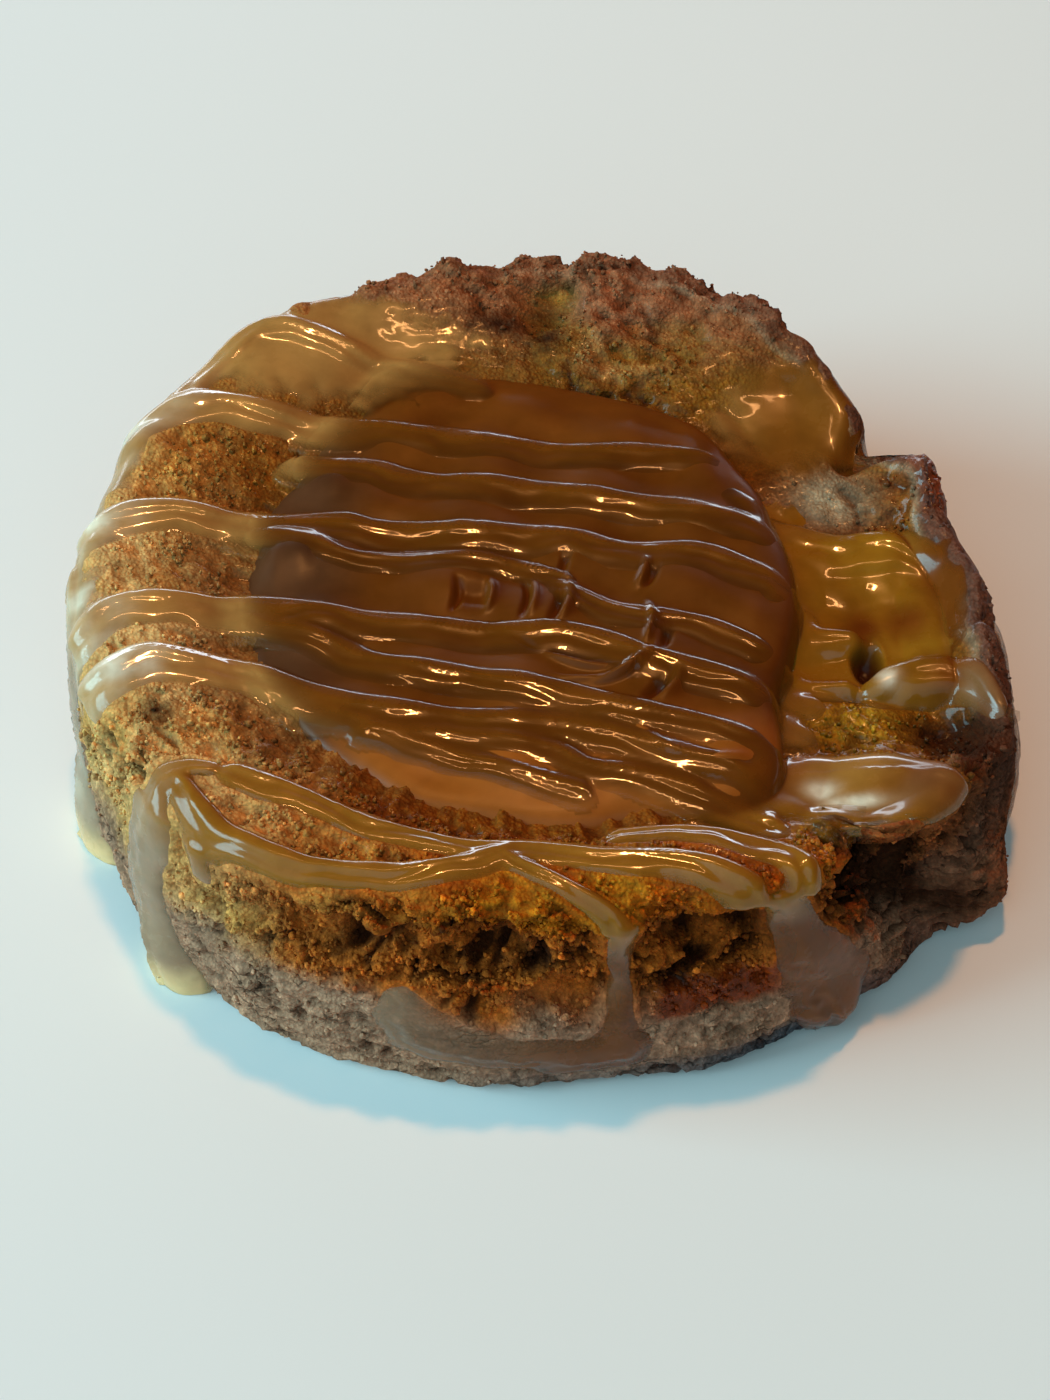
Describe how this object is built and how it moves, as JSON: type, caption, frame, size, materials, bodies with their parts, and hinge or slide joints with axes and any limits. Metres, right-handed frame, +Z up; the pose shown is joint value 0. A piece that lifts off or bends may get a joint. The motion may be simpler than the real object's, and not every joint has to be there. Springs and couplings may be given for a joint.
{
  "type": "caramel cookie",
  "caption": "Thick round baked cookie with a craggy rim and a broken side, its dished top filled with set milk chocolate, drizzled with caramel that drips down the wall.",
  "frame": {"origin": "on the table, under the middle of the cookie's round base", "axes": "+Z up through the top, -Y towards the viewer in the picture, +X towards the broken side"},
  "size_m": [0.0936, 0.0946, 0.028],
  "materials": {
    "dough": "matt browned crumb",
    "chocolate": "satin milk chocolate",
    "caramel": "glossy translucent caramel"
  },
  "bodies": {
    "root": {"cookie": "dough", "chocolate": "chocolate", "caramel_pool": "caramel"}
  },
  "joints": []
}
